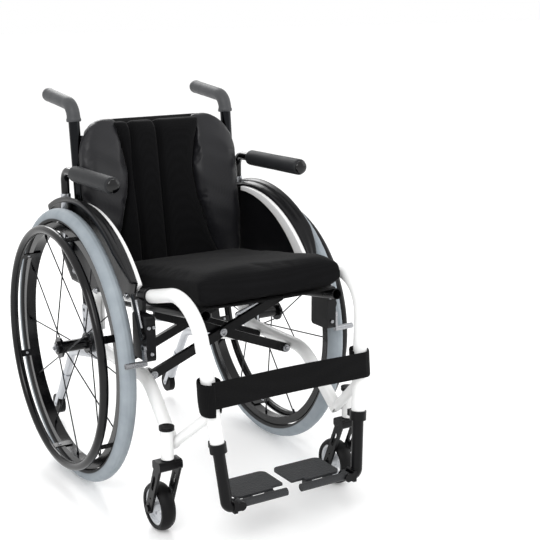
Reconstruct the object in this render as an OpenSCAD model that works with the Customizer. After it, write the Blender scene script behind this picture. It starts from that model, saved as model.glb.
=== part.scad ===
// Folding manual wheelchair with a double cross brace.
// Millimetres, +Z up, the chair faces -Y, +X is the user's left.
// The origin is on the floor, below the middle of the whole chair.

/* [Rear wheels] */
// Outer diameter of the rear tyre
wheel_d = 610; // [560:1:660]
// Width of the rear tyre
tyre_w = 35; // [25:1:38]
// Distance between the middle planes of the two rear wheels
wheel_track = 505; // [500:1:620]
// Diameter of the handrim's tube circle
handrim_d = 524; // [480:1:540]
// Diameter of the handrim tube
handrim_tube_d = 19; // [16:1:25]
// Distance of the handrim outboard of the wheel's middle plane
handrim_out = 41; // [36:1:60]
// Diameter of the hub's flanges
hub_flange_d = 46; // [40:1:60]
// Diameter of the hub's barrel
hub_barrel_d = 26; // [24:1:32]
// Diameter of the quick-release axle pin
axle_d = 12.7; // [10:0.1:14]
// Diameter of a spoke
spoke_d = 3; // [2:0.1:3]

/* [Castors] */
// Outer diameter of the castor wheel
castor_d = 100; // [80:1:110]
// Width of the castor tyre
castor_w = 30; // [22:1:32]
// Distance of a castor's stem from the chair's middle plane
castor_x = 218; // [216:1:260]
// Distance of the stems ahead of the rear axle
castor_reach = 385; // [375:1:395]
// Distance of the castor axle behind its stem
castor_trail = 42; // [35:1:46]
// Diameter of the castor barrel on the frame
barrel_d = 26; // [24:1:30]
// Height of the castor barrel
barrel_h = 60; // [50:1:70]

/* [Side frames] */
// Distance of a side frame's tubes from the chair's middle plane
frame_x = 192; // [188:1:192]
// Diameter of the main frame tube
tube_d = 28; // [25:1:30]
// Wall of the main frame tube
tube_wall = 2; // [1.5:0.1:3]
// Height of the lower frame tube
lower_tube_z = 292; // [285:1:300]
// Height of the seat tube above the rear axle's position
seat_rear_z = 424; // [415:1:435]
// Rise of the seat tube towards the front, in degrees
seat_rise = 8.2; // [4:0.1:9]
// Lean of the front tube towards its foot, in degrees
front_lean = 5.8; // [3:0.1:7]
// Inward slope of the front tube towards its foot, in degrees
front_toe = 5.3; // [4:0.1:6]

/* [Seat] */
// Depth of the seat cushion
cushion_depth = 440; // [400:1:444]
// Width of the seat cushion
cushion_w = 344; // [330:1:350]
// Thickness of the seat cushion
cushion_t = 68; // [50:1:80]
// Thickness of the sling below the cushion
sling_t = 3; // [2:0.5:5]

/* [Back] */
// Height of the top of the back upholstery
back_top_z = 793; // [740:1:830]
// Lean of the back canes, in degrees
back_lean = 5; // [0:0.5:8]
// Diameter of a back cane
cane_d = 25; // [22:1:26]
// Length of a push handle's grip
grip_len = 114; // [90:1:130]
// Diameter of a push handle's grip
grip_d = 30; // [28:1:36]
// Height of the side guard's rim above the rear axle
guard_r = 312; // [310:1:325]

/* [Armrests] */
// Height of the armrest pad's centre line
arm_z = 683; // [670:1:720]
// Diameter of the armrest pad
pad_d = 35; // [30:1:40]
// Length of the armrest pad
pad_len = 195; // [160:1:220]
// Diameter of the armrest tube
arm_tube_d = 19; // [16:1:19]

/* [Footrests] */
// Height of the footplate's hinge
foot_z = 96; // [80:1:130]
// Diameter of the footrest's sliding tube
leg_d = 23.6; // [20:0.1:23.6]
// Distance of the footplate's hinge from the chair's middle plane
foot_hinge_x = 126; // [124:1:128]
// Distance of the footplate's inner edge from the chair's middle plane
plate_inner_x = 10; // [10:1:30]
// Depth of a footplate
plate_depth = 84; // [70:1:95]
// Thickness of a footplate
plate_t = 5; // [4:0.5:7]
// Height of the calf strap's webbing
strap_h = 52; // [40:1:60]

/* [Cross brace] */
// Distance of the brace's lower pivots from the chair's middle plane
brace_x = 167; // [160:1:167]
// Height of the brace's lower pivots
brace_z = 287; // [285:1:290]
// Height of the brace's centre pivot
centre_z = 353; // [350:1:356]
// Depth of a brace bar, seen from the front
bar_h = 20; // [16:1:20]
// Thickness of a brace bar
bar_t = 10; // [6:1:12]
// Distance of the seat rails from the chair's middle plane
rail_x = 152; // [148:1:155]
// Diameter of a seat rail
rail_d = 22; // [18:1:24]

/* [Anti-tippers] */
// Distance of an anti-tipper from the chair's middle plane
tip_x = 158; // [150:1:160]
// Diameter of an anti-tipper's tube
tip_tube_d = 20; // [16:1:22]
// Diameter of an anti-tipper's wheel
tip_wheel_d = 50; // [40:1:56]

/* [Hidden] */
$fn = 48;
SIDES = ["left", "right"];
gap = 0.3;          // gap left between neighbouring pieces
run = 0.08;         // radial clearance of a running fit
swell = 0.06;       // a bent stretch of tube is this much fatter than its straights
lap = 1;            // and the straights run this far into it
axle_z = wheel_d / 2;
wheel_x = wheel_track / 2;
tyre_r = tyre_w / 2;
tyre_c = axle_z - tyre_r;
rim_r = axle_z - tyre_w + 4;
hub_out = 30;       // outer flange from the wheel's middle plane
hub_in = 34;        // inner flange from the wheel's middle plane
flange_t = 5;
// seat line: one gentle bend behind the front bend
mid_y = -240;
front_rise = seat_rise + 5.8;
function seat_z(y) = seat_rear_z + (8 - y) * tan(seat_rise);
mid_z = seat_z(mid_y);
bend_r = 85;
corner_y = -462.5;
corner_z = mid_z + (mid_y - corner_y) * tan(front_rise);
up_y = 8;           // rear upright
// a point of the front tube's line at height z
function front_pt(z) = [frame_x - (corner_z - z) * tan(front_toe), corner_y - (corner_z - z) * tan(front_lean), z];
front_end_z = 226;
barrel_z = 168;     // bottom of the castor barrel
foot_bend_r = 30;
cane_x = frame_x;
cane_y0 = 48;       // back cane at height cane_z0
cane_z0 = 430;
pad_front = 38;     // thickness of the back ahead of the canes' centre line
cane_in = cane_x - cane_d / 2 - gap;   // outboard face of the frame plate that carries the cane
function cane_y(z) = cane_y0 + (z - cane_z0) * tan(back_lean);
seat_y0 = -440;     // front of the cushion
seat_z0 = 475;      // underside of the cushion at its front
post_x = frame_x + 29;
post_y = 76;
socket_r = arm_tube_d / 2 + 2;
brace_rise = atan((centre_z - brace_z) / brace_x);
brace_rows = [-222, -96];
// underside of the cushion, top of the sling's rails and middle of the rails, at distance y from the axle
function under(y) = seat_z0 - (y - seat_y0) * tan(seat_rise);
function rail_c(y) = under(y) - 2 * gap - (sling_t + rail_d / 2) / cos(seat_rise);
plate_x0 = frame_x + tube_d / 2 + gap;    // inboard face of the axle plate and side guard
// extent of the chair ahead of and behind the rear axle
tip_wheel_y = 350;
tip_wheel_z = 42;
bar_y = front_pt(foot_z)[1];
bar_d = 16;
ear_out = 13.5;     // outer face of a footplate hinge's ears, from the bar's middle
front_reach = -bar_y + ear_out;
rear_reach = tip_wheel_y + tip_wheel_d / 2;
shift_y = (front_reach - rear_reach) / 2;

// ---- tube shapes ----
function unit(v) = v / norm(v);
function turn_of(a, b, c) = acos(unit(b - a) * unit(c - b));
function cut_of(a, b, c, r) = r * tan(turn_of(a, b, c) / 2);

module rod(p, q, r) {
    d = q - p;
    translate(p) rotate([0, acos(d[2] / norm(d)), atan2(d[1], d[0])]) cylinder(h = norm(d), r = r);
}

// the bent stretch of a tube at corner b, between a and c
module elbow(a, b, c, bend, r) {
    u = unit(b - a);
    v = unit(c - b);
    n = unit(v - (u * v) * u);
    s = b - u * cut_of(a, b, c, bend);
    o = s + bend * n;
    w = cross(-n, u);
    multmatrix([[-n[0], u[0], w[0], o[0]], [-n[1], u[1], w[1], o[1]], [-n[2], u[2], w[2], o[2]], [0, 0, 0, 1]])
        rotate_extrude(angle = turn_of(a, b, c)) translate([bend, 0]) circle(r = r + swell);
}

// a tube through the points p, with bend radius bends[i] at corner i + 1, longer by more at both ends
module bent_rod(p, bends, r, more = 0) {
    n = len(p);
    start = p[0] - more * unit(p[1] - p[0]);
    end = p[n - 1] + more * unit(p[n - 1] - p[n - 2]);
    for (i = [0 : n - 2]) {
        u = unit(p[i + 1] - p[i]);
        from = i == 0 ? start : p[i] + u * (cut_of(p[i - 1], p[i], p[i + 1], bends[i - 1]) - lap);
        to = i == n - 2 ? end : p[i + 1] - u * (cut_of(p[i], p[i + 1], p[i + 2], bends[i]) - lap);
        rod(from, to, r);
    }
    for (i = [1 : n - 2]) elbow(p[i - 1], p[i], p[i + 1], bends[i - 1], r);
}

// a cylinder along X, Y or Z, centred on its length
module pin_x(x, y, z, r, h) translate([x, y, z]) rotate([0, 90, 0]) cylinder(r = r, h = h, center = true);
module pin_y(x, y, z, r, h) translate([x, y, z]) rotate([90, 0, 0]) cylinder(r = r, h = h, center = true);
// a flat shape drawn in Y and Z, thick from x0 to x1
module slab_x(x0, x1) translate([x0, 0, 0]) rotate([90, 0, 90]) linear_extrude(x1 - x0) children();
// a flat shape drawn in X and Z, thick from y0 to y1
module slab_y(y0, y1) translate([0, y1, 0]) rotate([90, 0, 0]) linear_extrude(y1 - y0) children();
// a flat outline of [radius, x], turned about an axis along X
module about_x(y, z) translate([0, y, z]) rotate([0, 90, 0]) rotate_extrude($fn = 96) children();
// a rectangle with round corners
module soft_rect(w, h, r) {
    square([w - 2 * r, h], center = true);
    square([w, h - 2 * r], center = true);
    for (x = [-1, 1]) for (y = [-1, 1]) translate([x * (w / 2 - r), y * (h / 2 - r)]) circle(r = r);
}
// a bar between two points of a plane, with round ends a little fatter than its straight sides
module strip(a, b, w) {
    d = b - a;
    flat = w - 2 * swell;
    for (q = [a, b]) translate(q) circle(d = w);
    translate(a) rotate(atan2(d[1], d[0])) translate([0, -flat / 2]) square([norm(d), flat]);
}

// Everything below is drawn for the user's left and mirrored for the right.
module at_chair() translate([0, shift_y, 0]) children();
module on_side(side) at_chair() mirror([side == "right" ? 1 : 0, 0, 0]) children();

// ---- side frame: one welded piece ----
frame_path = [[frame_x + 6, -374, 184], [frame_x, -255, lower_tube_z], [frame_x, up_y, lower_tube_z],
    [frame_x, up_y, seat_rear_z], [frame_x, mid_y, mid_z], [frame_x, corner_y, corner_z], front_pt(front_end_z)];
frame_bends = [90, 55, 55, 120, bend_r];
sleeve_r = 11;
stem_r = 6;
brace_pin_r = 4;
// fold link: its pivots on the frame and on the far brace arm, and its layer along Y
link_f = [171, 407];
link_share = 0.34;
link_q = [link_share * brace_x, centre_z + link_share * (centre_z - brace_z)];
link_t = 4;
link_y = brace_rows[0] + bar_t + 12.4;
// anti-tipper
tip_hub = [tip_x, tip_wheel_y, tip_wheel_z];
tip_knee = [tip_x, 240, 212];
tip_v = unit(tip_hub - tip_knee);
tip_path = [[tip_x, 0, 264], tip_knee, tip_hub - (tip_wheel_d / 2 + 4) * tip_v];
tip_u = unit(tip_path[1] - tip_path[0]);
module side_frame() color("white") difference() {
    union() {
        bent_rod(frame_path, frame_bends, tube_d / 2);
        rod([frame_x + 6, -370, 188], front_pt(285), 10);
        translate([castor_x, -castor_reach, barrel_z]) cylinder(d = barrel_d, h = barrel_h);
        // plate that carries the back cane
        slab_x(cane_in - 5, cane_in) translate([26, 372]) soft_rect(64, 86, 8);
        // ear of the brace's lower pivot
        for (y = brace_rows) {
            pin_y(brace_x, y + bar_t + 7, brace_z, 9, 8);
            translate([brace_x + 6, y + bar_t + 3, brace_z - 4]) cube([12, 8, 8]);
        }
        // lug that carries the fold link
        slab_y(link_y + link_t + gap, link_y + link_t + 7) {
            strip(link_f, [frame_x - 6, link_f[1] + 14], 12);
            strip([frame_x - 6, link_f[1] + 14], [frame_x - 3, link_f[1] + 38], 12);
        }
        pin_y(link_f[0], link_y + 3, link_f[1], 3.5, 12);
        // receiver of the anti-tipper
        rod(tip_path[0] - 6 * tip_u, tip_path[0] + 55 * tip_u, tip_tube_d / 2 + 2.5);
        rod(tip_path[0] + 12 * tip_u, [frame_x - 4, -52, lower_tube_z], 8);
    }
    rod(tip_path[0], tip_path[0] + 70 * tip_u, tip_tube_d / 2 + run);
    bent_rod(frame_path, frame_bends, tube_d / 2 - tube_wall, 1);
    translate([castor_x, -castor_reach, barrel_z - 1]) cylinder(r = stem_r + run, h = barrel_h + 2);
    pin_x(frame_x, 0, axle_z, sleeve_r + run, 60);
    for (y = brace_rows) pin_y(brace_x, y + bar_t + 7, brace_z, brace_pin_r + run, 20);
}

plate_hole_r = 4.5;
// ---- axle plate with its sleeve, bolted outboard of the upright ----
module axle_plate() color("silver") difference() {
    union() {
        slab_x(plate_x0, plate_x0 + 4.5) translate([1, 330]) soft_rect(72, 116, 10);
        pin_x((plate_x0 + 4.5 + 172) / 2, 0, axle_z, sleeve_r, plate_x0 + 4.5 - 172);
    }
    pin_x(frame_x, 0, axle_z, axle_d / 2 + run, 80);
    for (y = [-24, 26]) for (z = [0 : 2]) pin_x(plate_x0, y, 330 + 22 * z, plate_hole_r, 20);
}

// ---- back cane, bent rearward into the push handle ----
handle_z = back_top_z + 30;
cane_top = [cane_x, cane_y(handle_z), handle_z];
handle_end = [cane_x, cane_y(handle_z) + 30 + grip_len, handle_z + (30 + grip_len) * tan(6)];
cane_path = [[cane_x, cane_y(336), 336], cane_top, handle_end];
module back_cane() color("dimgray") {
    difference() {
        bent_rod(cane_path, [32], cane_d / 2);
        bent_rod(cane_path, [32], cane_d / 2 - 2, 1);
    }
    // bolts that hold the cane to the frame's plate
    for (z = [350, 398]) pin_x(cane_in - 5 - gap - 2, cane_y(z), z, 6, 4);
}
module push_grip() color("dimgray") difference() {
    u = unit(handle_end - cane_top);
    rod(handle_end - u * (grip_len - 4), handle_end + u * 4, grip_d / 2);
    rod(handle_end - u * grip_len, handle_end + u * gap, cane_d / 2 + 0.05);
}

// ---- side guard: a flat panel with a mudguard rim, and the white strip on its inner face ----
guard_low = 462;
module guard_zone() polygon([[-272, 520], [-236, seat_z(-236)], [-30, seat_z(-30)], [96, seat_z(-30)],
    [150, guard_low + 20], [164, 540], [164, 700], [-330, 700]]);
module guard_arc(r) translate([0, axle_z]) circle(r = r, $fn = 96);
module side_guard() color([0.13, 0.13, 0.14]) {
    guard_trim();
    difference() {
        union() {
            slab_x(plate_x0, plate_x0 + 3) intersection() {
                guard_arc(guard_r + 2);
                guard_zone();
            }
            intersection() {
                about_x(0, axle_z) polygon([[guard_r - 1, plate_x0], [guard_r + 3, plate_x0],
                    [guard_r + 16, plate_x0 + 32], [guard_r + 12, plate_x0 + 32]]);
                slab_x(plate_x0 - 5, plate_x0 + 40) guard_zone();
            }
        }
        translate([post_x, post_y, 400]) cylinder(r = socket_r + gap, h = 300);
    }
}
module guard_trim() slab_x(plate_x0 - gap - 6, plate_x0 - gap) difference() {
    intersection() {
        guard_arc(guard_r);
        polygon([[-400, 488], [-190, 488], [20, 600], [30, 700], [-400, 700]]);
    }
    translate([14, -14]) guard_arc(guard_r - 14);
}

// ---- armrest: socket on the guard, swinging tube, foam sleeve ----
socket_top = 632;
module armrest_socket() color("silver") {
    difference() {
        translate([post_x, post_y, 500]) cylinder(r = socket_r, h = socket_top - 500);
        translate([post_x, post_y, 515]) cylinder(r = arm_tube_d / 2 + run, h = 200);
    }
}
arm_path = [[post_x, post_y, 517], [post_x, post_y, arm_z], [post_x + 4, post_y - 60 - pad_len - 6, arm_z]];
module armrest_tube() color("black") bent_rod(arm_path, [24], arm_tube_d / 2);
module armrest_pad() color([0.2, 0.2, 0.22]) {
    u = unit(arm_path[2] - arm_path[1]);
    e = arm_path[2];
    difference() {
        rod(e - u * (pad_len + 6), e + u * 6, pad_d / 2);
        rod(e - u * (pad_len + 8), e + u * gap, arm_tube_d / 2 + 0.05);
    }
}

// ---- rear wheel ----
module rear_tyre() color([0.45, 0.46, 0.48]) about_x(0, axle_z) intersection() {
    translate([tyre_c, wheel_x]) circle(r = tyre_r);
    translate([rim_r, wheel_x - tyre_r]) square([tyre_w, tyre_w]);
}
rim_in = rim_r - 17;
module rear_rim() color("black") about_x(0, axle_z) difference() {
    translate([rim_in, wheel_x - 12]) square([rim_r - rim_in, 24]);
    translate([rim_in + 3, wheel_x - 7]) square([rim_r - rim_in - 6, 14]);
}
// a spoke from a flange to the rim; layer keeps crossing spokes apart
module spoke(x, from, to, layer) rod([x + layer, 19 * sin(from), axle_z + 19 * cos(from)],
    [wheel_x + layer, (rim_in + 1.5) * sin(to), axle_z + (rim_in + 1.5) * cos(to)], spoke_d / 2);
module spokes() color([0.2, 0.2, 0.2]) for (i = [0 : 5]) {
    cross = i % 2 == 0 ? 64 : -64;
    layer = i % 2 == 0 ? 1.6 : -1.6;
    spoke(wheel_x + hub_out, 60 * i + cross, 60 * i, layer);
    spoke(wheel_x - hub_in, 60 * i + 30 - cross, 60 * i + 30, layer);
}
module hub() color([0.12, 0.12, 0.12]) difference() {
    union() {
        pin_x(wheel_x + (hub_out - hub_in) / 2, 0, axle_z, hub_barrel_d / 2, hub_out + hub_in);
        for (x = [-hub_in, hub_out]) pin_x(wheel_x + x, 0, axle_z, hub_flange_d / 2, flange_t);
        pin_x(wheel_x + hub_out + 5, 0, axle_z, hub_barrel_d / 2 + 1, 7);
        pin_x(wheel_x - hub_in - 3, 0, axle_z, hub_barrel_d / 2 - 3, 2);
    }
    pin_x(wheel_x, 0, axle_z, axle_d / 2 + run, 100);
}
rim_tabs = 6;
module handrim() color("black") {
    about_x(0, axle_z) translate([handrim_d / 2, wheel_x + handrim_out]) circle(d = handrim_tube_d);
    for (i = [0 : rim_tabs - 1]) translate([0, 0, axle_z]) rotate([60 * i + 12, 0, 0])
        translate([wheel_x - 6, -8, rim_in - 3.5]) cube([handrim_out + 3, 16, 3.2]);
}
hub_face = wheel_x + hub_out + 8.5;
module axle_pin() color("silver") difference() {
    union() {
        pin_x((170 + hub_face) / 2, 0, axle_z, axle_d / 2, hub_face + 1 - 170);
        pin_x(hub_face + 2, 0, axle_z, 9, 3.4);
    }
    pin_x(hub_face, 0, axle_z, 4 + run, 24);
}
module axle_button() color("dimgray") pin_x(hub_face + 2, 0, axle_z, 4, 12);

// ---- castor ----
castor_y = -castor_reach + castor_trail;
castor_z = castor_d / 2;
leg_in = castor_w / 2 + 4.5;
module castor_fork() color([0.1, 0.1, 0.1]) {
    for (x = [castor_x - leg_in - 6, castor_x + leg_in]) slab_x(x, x + 6) difference() {
        strip([-castor_reach, 148], [castor_y, castor_z], 22);
        strip([-castor_reach + 9, 128], [-castor_reach + 20, 102], 9);
        for (i = [1, 2]) translate([castor_y - 5.5 * i, castor_z + 13 * i]) circle(d = 5);
    }
    slab_x(castor_x - leg_in - 6, castor_x + leg_in + 6) translate([-castor_reach, 156]) soft_rect(34, 20, 7);
    translate([castor_x, -castor_reach, 158]) cylinder(r = stem_r, h = barrel_z + barrel_h - 155);
    translate([castor_x, -castor_reach, barrel_z + barrel_h + gap]) cylinder(d = barrel_d + 5, h = 7);
    pin_x(castor_x, castor_y, castor_z, 4, 2 * leg_in + 16);
    for (x = [-1, 1]) pin_x(castor_x + x * (leg_in + 8), castor_y, castor_z, 7, 4);
}
castor_rim_r = castor_d / 2 - 12;
module castor_tyre() color("black") about_x(castor_y, castor_z) intersection() {
    translate([castor_rim_r, castor_x - castor_w / 2]) square([12, castor_w]);
    translate([castor_d / 2 - 22, castor_x]) circle(r = 22);
}
module castor_rim() color("silver") difference() {
    about_x(castor_y, castor_z) union() {
        translate([castor_rim_r - 5, castor_x - 11]) square([5, 22]);
        translate([2, castor_x - 3]) square([castor_rim_r - 4, 6]);
        translate([4 + run, castor_x - leg_in + 1]) square([6, 2 * leg_in - 2]);
    }
    pin_x(castor_x, castor_y, castor_z, 4 + run, 60);
    for (i = [0 : 4]) translate([0, castor_y, castor_z]) rotate([72 * i, 0, 0]) translate([castor_x, 0, 21])
        rotate([0, 90, 0]) cylinder(r = 7, h = 20, center = true);
}

// ---- wheel lock ----
lock_y = -268;
lock_z = mid_z + (mid_y - lock_y) * tan(front_rise);
lever_p = [-312, 402];
shoe_p = [-318, 378];
shoe_b = [-322, 348];
lock_x = plate_x0 + 20;
module brake_mount() color([0.15, 0.15, 0.15]) difference() {
    union() {
        translate([frame_x, lock_y, lock_z]) rotate([-front_rise, 0, 0]) pin_y(0, 0, 0, tube_d / 2 + 4, 34);
        slab_x(plate_x0, lock_x) translate([-294, 395]) soft_rect(64, 92, 8);
        slab_x(plate_x0, plate_x0 + 8) translate([lock_y, 446]) soft_rect(36, 40, 4);
        for (q = [lever_p, shoe_p]) pin_x(lock_x + 3, q[0], q[1], 3.5, 8);
    }
    translate([frame_x, lock_y, lock_z]) rotate([-front_rise, 0, 0]) pin_y(0, 0, 0, tube_d / 2 + 0.05, 90);
}
module brake_lever() color([0.1, 0.1, 0.1]) slab_x(lock_x + gap, lock_x + 6) difference() {
    union() {
        strip(lever_p, [-279, 474], 14);
        translate(lever_p) circle(r = 9);
    }
    translate(lever_p) circle(r = 3.5 + run);
}
module brake_shoe() color("silver") {
    slab_x(lock_x + gap, lock_x + 6) difference() {
        union() {
            strip(shoe_p, shoe_b, 10);
            translate(shoe_p) circle(r = 7.5);
        }
        translate(shoe_p) circle(r = 3.5 + run);
    }
    pin_x(lock_x + 23, shoe_b[0], shoe_b[1], 6, 46 - 2 * gap);
}

// ---- footrest ----
knuckle_r = 9;
leg_bend_r = 12.5;
leg_path = [front_pt(300), front_pt(foot_z), [foot_hinge_x + 12, bar_y, foot_z]];
module footrest_tube() color([0.1, 0.1, 0.1]) {
    bent_rod(leg_path, [leg_bend_r], leg_d / 2);
    rod(front_pt(front_end_z - gap), front_pt(front_end_z - 19), tube_d / 2 + 3);
    translate(front_pt(front_end_z - 16)) translate([-8, 12, 0]) cube([16, 14, 13]);
    translate([foot_hinge_x + knuckle_r + 1.3, bar_y - ear_out, foot_z - 11.5]) cube([8, 2 * ear_out, 23]);
    for (y = [-1, 1]) {
        pin_y(foot_hinge_x, bar_y + y * (ear_out - 2.25), foot_z, knuckle_r, 4.5);
        translate([foot_hinge_x, bar_y + y * (ear_out - 2.25) - 2.25, foot_z - 8]) cube([14, 4.5, 16]);
    }
    pin_y(foot_hinge_x, bar_y, foot_z, 4, 2 * ear_out - 1);
}
plate_z = foot_z + 2;
plate_outer_x = foot_hinge_x - 2;
plate_y0 = bar_y + ear_out + 1.5;
module footplate() color([0.27, 0.27, 0.28]) difference() {
    union() {
        pin_y(foot_hinge_x, bar_y, foot_z, knuckle_r, 2 * ear_out - 9.6);
        rod([foot_hinge_x - 6, bar_y, foot_z], [plate_inner_x + 7, bar_y, foot_z], bar_d / 2);
        for (x = [38, 88]) translate([x, bar_y, foot_z - 6]) cube([14, 28, 9]);
        translate([(plate_inner_x + plate_outer_x) / 2, plate_y0 + plate_depth / 2, plate_z])
            linear_extrude(plate_t) difference() {
                soft_rect(plate_outer_x - plate_inner_x, plate_depth, 14);
                translate([-50, -plate_depth / 2]) square([44, 18], center = true);
            }
    }
    pin_y(foot_hinge_x, bar_y, foot_z, 4 + run, 60);
}

// ---- anti-tipper ----
module anti_tip_tube() color([0.75, 0.75, 0.76]) {
    end = tip_path[2];
    bent_rod([tip_path[0] + tip_u, tip_path[1], end], [60], tip_tube_d / 2);
    rod(end - 90 * tip_v, end, tip_tube_d / 2 + 2);
    for (x = [-11.5, 8.5]) slab_x(tip_x + x, tip_x + x + 3)
        strip([end[1] - 6 * tip_v[1], end[2] - 6 * tip_v[2]], [tip_hub[1], tip_hub[2]], 14);
    pin_x(tip_x, tip_wheel_y, tip_wheel_z, 3, 26);
}
module anti_tip_wheel() color("black") about_x(tip_wheel_y, tip_wheel_z)
    translate([3 + run, tip_x - 8]) square([tip_wheel_d / 2 - 3 - run, 16]);

// ---- cross brace: two welded arms, each with a seat rail along its top ----
function rail_at(side, y) = [side * rail_x, y, rail_c(y)];
bar_end = [rail_x - 6, brace_z + (rail_x - 6 + brace_x) * tan(brace_rise)];
module brace_arm(side, y_from, y_to) {
    // side is where the seat rail is; the lower pivot is on the other side
    difference() {
        union() {
            rod(rail_at(side, seat_y0 + 8), rail_at(side, 4), rail_d / 2);
            for (y = brace_rows) {
                slab_y(y + y_from, y + y_to) mirror([side > 0 ? 0 : 1, 0]) {
                    strip([-brace_x, brace_z], bar_end, bar_h);
                    strip(bar_end, [rail_x, rail_c(y)], bar_h - 4);
                }
                pin_y(-side * brace_x, y + (y_from + bar_t + 11) / 2, brace_z, brace_pin_r, bar_t + 11 - y_from - 1);
            }
        }
        rod(rail_at(side, seat_y0), rail_at(side, 14), rail_d / 2 - 1.6);
    }
}
module cross_arm_a() at_chair() color([0.1, 0.1, 0.1]) {
    brace_arm(1, -bar_t, -gap / 2);
    for (y = brace_rows) {
        pin_y(0, y + 1, centre_z, 6, 2 * bar_t);
        pin_y(0, y + bar_t + gap + 1.5, centre_z, 10, 3);
    }
}
module cross_arm_b() at_chair() color([0.14, 0.14, 0.14]) difference() {
    brace_arm(-1, gap / 2, bar_t);
    for (y = brace_rows) pin_y(0, y, centre_z, 6 + run, 60);
}
module fold_link() color("silver") slab_y(link_y, link_y + link_t) difference() {
    strip(link_f, link_q, 12);
    translate(link_f) circle(r = 3.5 + run);
    translate(link_q) circle(r = 4.2);
}

// ---- soft parts ----
module seat_sling() at_chair() color([0.1, 0.1, 0.1]) slab_x(-rail_x - rail_d / 2, rail_x + rail_d / 2) {
    t = sling_t / cos(seat_rise);
    polygon([for (q = [[seat_y0 + 8, 0], [4, 0], [4, t], [seat_y0 + 8, t]]) [q[0], under(q[0]) - gap - q[1]]]);
}
module seat_cushion() at_chair() color([0.08, 0.08, 0.08]) translate([0, seat_y0, seat_z0])
    rotate([-seat_rise, 0, 0]) linear_extrude(cushion_t) translate([0, cushion_depth / 2])
        soft_rect(cushion_w, cushion_depth, 40);
back_low = 425;
back_half = cane_in;
module back_upholstery() at_chair() color([0.12, 0.12, 0.13]) {
    slab_x(-back_half, back_half) polygon([for (q = [[back_low, -pad_front], [back_low, 12], [back_top_z, 12],
        [back_top_z, -pad_front]]) [cane_y(q[0]) + q[1], q[0]]]);
    for (x = [-back_half, back_half - 26]) slab_x(x, x + 26)
        polygon([[40, back_top_z - 22], [24, 735], [-4, 690], [-18, 620], [-18, 492], [40, 492]]);
}
bag_z = [455, 648];
module back_bag() at_chair() color([0.07, 0.07, 0.07]) slab_x(-150, 150) polygon([for (q = [[bag_z[0], 12.5],
    [bag_z[0] + 10, 58], [bag_z[1] - 20, 58], [bag_z[1], 12.5]]) [cane_y(q[0]) + q[1], q[0]]]);
strap_z = 326;
strap_r = tube_d / 2 + 3.4;
module calf_strap() at_chair() color([0.06, 0.06, 0.06]) translate([0, front_pt(strap_z)[1], strap_z])
    rotate([-front_lean, 0, 0]) translate([0, 0, -strap_h / 2]) linear_extrude(strap_h) difference() {
        tx = front_pt(strap_z)[0];
        union() {
            for (x = [-tx, tx]) translate([x, 0]) circle(r = strap_r + 3);
            translate([-tx, -strap_r - 3]) square([2 * tx, 3]);
        }
        for (x = [-tx, tx]) translate([x, 0]) circle(r = strap_r);
    }

on_side("left") side_frame();  // side_frame_left
on_side("right") side_frame();  // side_frame_right
on_side("left") axle_plate();  // axle_plate_left
on_side("right") axle_plate();  // axle_plate_right
on_side("left") back_cane();  // back_cane_left
on_side("right") back_cane();  // back_cane_right
on_side("left") push_grip();  // push_grip_left
on_side("right") push_grip();  // push_grip_right
on_side("left") side_guard();  // side_guard_left
on_side("right") side_guard();  // side_guard_right
on_side("left") armrest_socket();  // armrest_socket_left
on_side("right") armrest_socket();  // armrest_socket_right
on_side("left") armrest_tube();  // armrest_tube_left
on_side("right") armrest_tube();  // armrest_tube_right
on_side("left") armrest_pad();  // armrest_pad_left
on_side("right") armrest_pad();  // armrest_pad_right
on_side("left") rear_tyre();  // rear_tyre_left
on_side("right") rear_tyre();  // rear_tyre_right
on_side("left") rear_rim();  // rear_rim_left
on_side("right") rear_rim();  // rear_rim_right
on_side("left") spokes();  // spokes_left
on_side("right") spokes();  // spokes_right
on_side("left") hub();  // hub_left
on_side("right") hub();  // hub_right
on_side("left") handrim();  // handrim_left
on_side("right") handrim();  // handrim_right
on_side("left") axle_pin();  // axle_pin_left
on_side("right") axle_pin();  // axle_pin_right
on_side("left") axle_button();  // axle_button_left
on_side("right") axle_button();  // axle_button_right
on_side("left") castor_fork();  // castor_fork_left
on_side("right") castor_fork();  // castor_fork_right
on_side("left") castor_tyre();  // castor_tyre_left
on_side("right") castor_tyre();  // castor_tyre_right
on_side("left") castor_rim();  // castor_rim_left
on_side("right") castor_rim();  // castor_rim_right
on_side("left") brake_mount();  // brake_mount_left
on_side("right") brake_mount();  // brake_mount_right
on_side("left") brake_lever();  // brake_lever_left
on_side("right") brake_lever();  // brake_lever_right
on_side("left") brake_shoe();  // brake_shoe_left
on_side("right") brake_shoe();  // brake_shoe_right
on_side("left") footrest_tube();  // footrest_tube_left
on_side("right") footrest_tube();  // footrest_tube_right
on_side("left") footplate();  // footplate_left
on_side("right") footplate();  // footplate_right
on_side("left") anti_tip_tube();  // anti_tip_tube_left
on_side("right") anti_tip_tube();  // anti_tip_tube_right
on_side("left") anti_tip_wheel();  // anti_tip_wheel_left
on_side("right") anti_tip_wheel();  // anti_tip_wheel_right
cross_arm_a();
cross_arm_b();
on_side("left") fold_link();  // fold_link_left
on_side("right") fold_link();  // fold_link_right
seat_sling();
seat_cushion();
back_upholstery();
back_bag();
calf_strap();
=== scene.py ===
import math

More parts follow.
